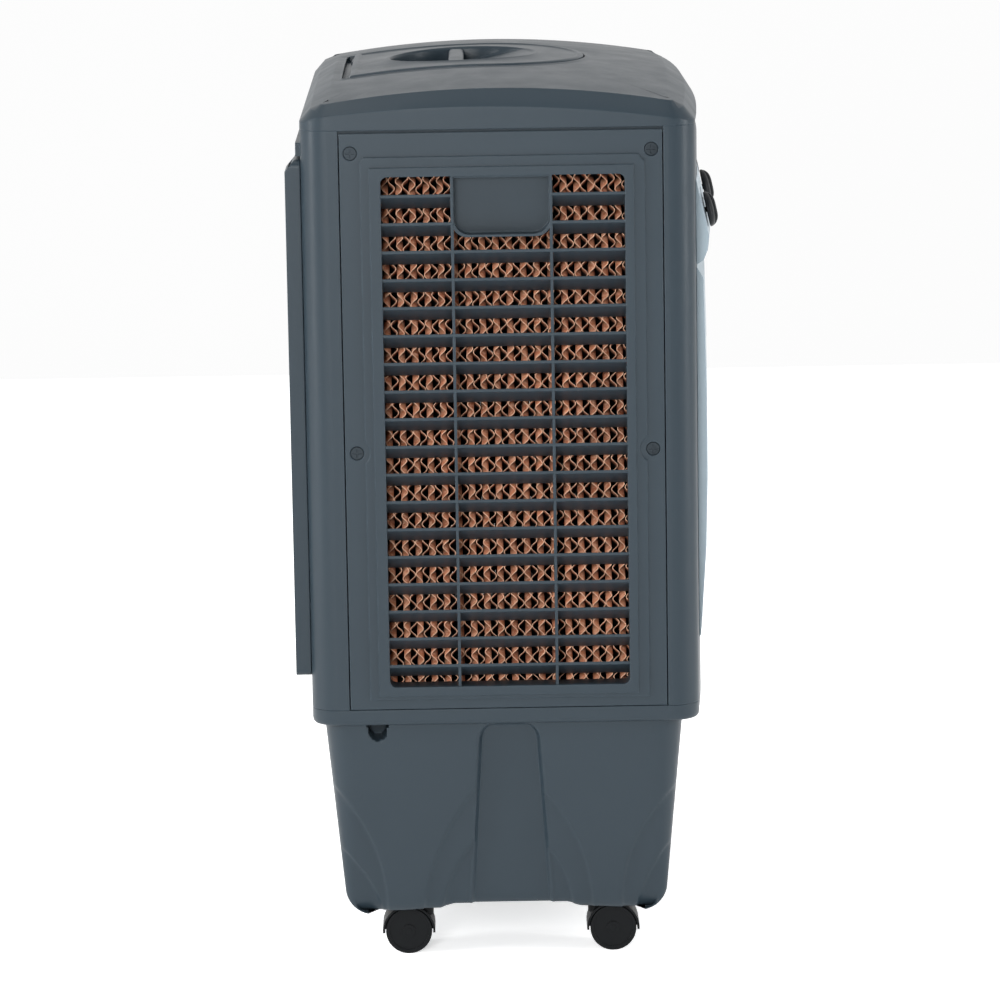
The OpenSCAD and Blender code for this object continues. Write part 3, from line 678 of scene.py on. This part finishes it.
def dial_point(i, a, b, h):
    """A point on dial i: a across, b up the panel, h out of it."""
    x = i * DIAL_GAP + a
    y = -END_Y - DIAL_OUT + x * x / (2 * BOW_R)
    return (x, y + b * math.sin(LEAN) - h * math.cos(LEAN), DIAL_Z + b * math.cos(LEAN) + h * math.sin(LEAN))


def knob_point(i, a, b, h):
    """The same for a knob: flat, so that it clears the bowed panel at every angle."""
    x, y, z = dial_point(i, 0, b, h)
    return (x + a, y, z)


for i, node, body in ((-1, "knob_speed", "speed_knob"), (0, "knob_function", "function_knob"),
                      (1, "knob_timer", "timer_knob")):
    knob = Build()
    knob.lathe([(0, 1.7), (17.6, 1.7), (18.8, 2.1), (18.95, 3.2), (18.6, 4.8), (17.4, 6.4), (15.2, 7.7), (12, 8.6),
                (7, 9.2), (0, 9.3)], lambda a, b, h, i=i: knob_point(i, a, b, h), 64)
    grip = []
    for k in range(19):
        along = -17.5 + 35 * k / 18
        crown = 12.3 - 5.5 * (abs(along) / 17.5) ** 4
        half = 3.6 + 0.5 * (1 - (along / 17.5) ** 2)
        grip.append([knob_point(i, a, along, h) for a, h in (
            (-half - 0.6, 3), (-half, crown - 2), (-half + 0.7, crown - 0.6), (-half + 2, crown), (half - 2, crown),
            (half - 0.7, crown - 0.6), (half, crown - 2), (half + 0.6, 3))])
    knob.rings(grip, caps=True)
    knob.lathe([(0, -14), (2.95, -14), (2.95, 2.5), (0, 2.5)], lambda a, b, h, i=i: knob_point(i, a, b, h), 24)
    mesh(node + "_cap", knob.v, knob.f, "knob_plastic", body, (node,), 40)

marks = Build()
for i, spread, count in ((-1, 135, 4), (0, 180, 5), (1, 300, 11)):
    for k in range(count):
        turn = math.radians(spread * k / (count - 1) - spread / 2)
        cx, cy = MARK_R * math.sin(turn), MARK_R * math.cos(turn)
        size = 1.5 if k else 2.1
        marks.lathe([(0, 0.02), (size, 0.02), (size, 0.22), (0, 0.28)],
                    lambda a, b, h, i=i, cx=cx, cy=cy: dial_point(i, cx + a, cy + b, h), 16)
mesh("dial_marks", marks.v, marks.f, "fascia_plastic", "cabinet", material=dial_ink)


# ---------------------------------------------------------------- stage, light and camera

floor_mat = Graph("studio_floor")
floor_mat.link(floor_mat.mix(floor_mat.noise(1.2, 3), srgb(247, 247, 247), srgb(252, 252, 252)),
               floor_mat.shader.inputs["Base Color"])
floor_mat.link(floor_mat.remap(floor_mat.noise(9, 3), 0.3, 0.7, 0.75, 0.9), floor_mat.shader.inputs["Roughness"])
floor_mat.shader.inputs["Emission Color"].default_value = (1, 1, 1, 1)
floor_mat.shader.inputs["Emission Strength"].default_value = 0.55
bpy.ops.mesh.primitive_plane_add(size=60, location=(0, 0, -0.0002))
floor = bpy.context.object
floor.name = "studio_floor"
floor.data.materials.append(floor_mat.mat)

glow = Graph("backdrop")
glow.tree.nodes.remove(glow.shader)
lamp_face = glow.add("ShaderNodeEmission")
glow.link(glow.mix(glow.noise(0.4, 2), srgb(250, 250, 250), srgb(255, 255, 255)), lamp_face.inputs["Color"])
glow.link(lamp_face.outputs["Emission"], glow.out.inputs["Surface"])
bpy.ops.mesh.primitive_plane_add(size=60, location=(3.8, 0, 8), rotation=(0, math.radians(-90), 0))
backdrop = bpy.context.object
backdrop.name = "backdrop"
backdrop.data.materials.append(glow.mat)

world = bpy.data.worlds.new("studio")
bpy.context.scene.world = world
world.use_nodes = True
sky = world.node_tree.nodes["Background"]
sky.inputs["Color"].default_value = (1, 1, 1, 1)
sky.inputs["Strength"].default_value = 0.42


def softbox(name, where, target, width, height, power):
    data = bpy.data.lights.new(name, "AREA")
    data.shape = "RECTANGLE"
    data.size, data.size_y, data.energy = width, height, power
    lamp = bpy.data.objects.new(name, data)
    lamp.location = where
    lamp.rotation_euler = (Vector(target) - Vector(where)).to_track_quat("-Z", "Y").to_euler()
    bpy.context.scene.collection.objects.link(lamp)


softbox("softbox_rear", (-1.2, 3.2, 1.5), (0, 0, 0.55), 0.6, 2.2, 95)
softbox("softbox_front", (-1.0, -3.2, 1.4), (0, 0, 0.55), 0.6, 2.2, 75)
softbox("softbox_top", (-0.4, 0.2, 4.2), (0, 0, 0.8), 3.0, 2.4, 50)
softbox("softbox_camera", (-4.6, 0.9, 1.7), (0, 0, 0.5), 1.2, 1.2, 145)

scene = bpy.context.scene
scene.view_settings.view_transform = "Standard"
scene.view_settings.look = "None"
scene.view_settings.exposure = 0
lens = bpy.data.cameras.new("camera")
lens.sensor_width = 36
lens.lens = 172.1
lens.clip_end = 100
camera = bpy.data.objects.new("camera", lens)
scene.collection.objects.link(camera)
yaw, pitch, roll = (math.radians(a) for a in (-0.28, 10.5, -0.90))
ahead = Vector((math.cos(pitch) * math.cos(yaw), math.cos(pitch) * math.sin(yaw), -math.sin(pitch)))
right = ahead.cross(Vector((0, 0, 1))).normalized()
up = right.cross(ahead)
right, up = right * math.cos(roll) + up * math.sin(roll), up * math.cos(roll) - right * math.sin(roll)
turn = Matrix((right, up, -ahead)).transposed()
camera.matrix_world = Matrix.Translation(row(-5266.6, 30.5, 1430.2)) @ turn.to_4x4()
scene.camera = camera
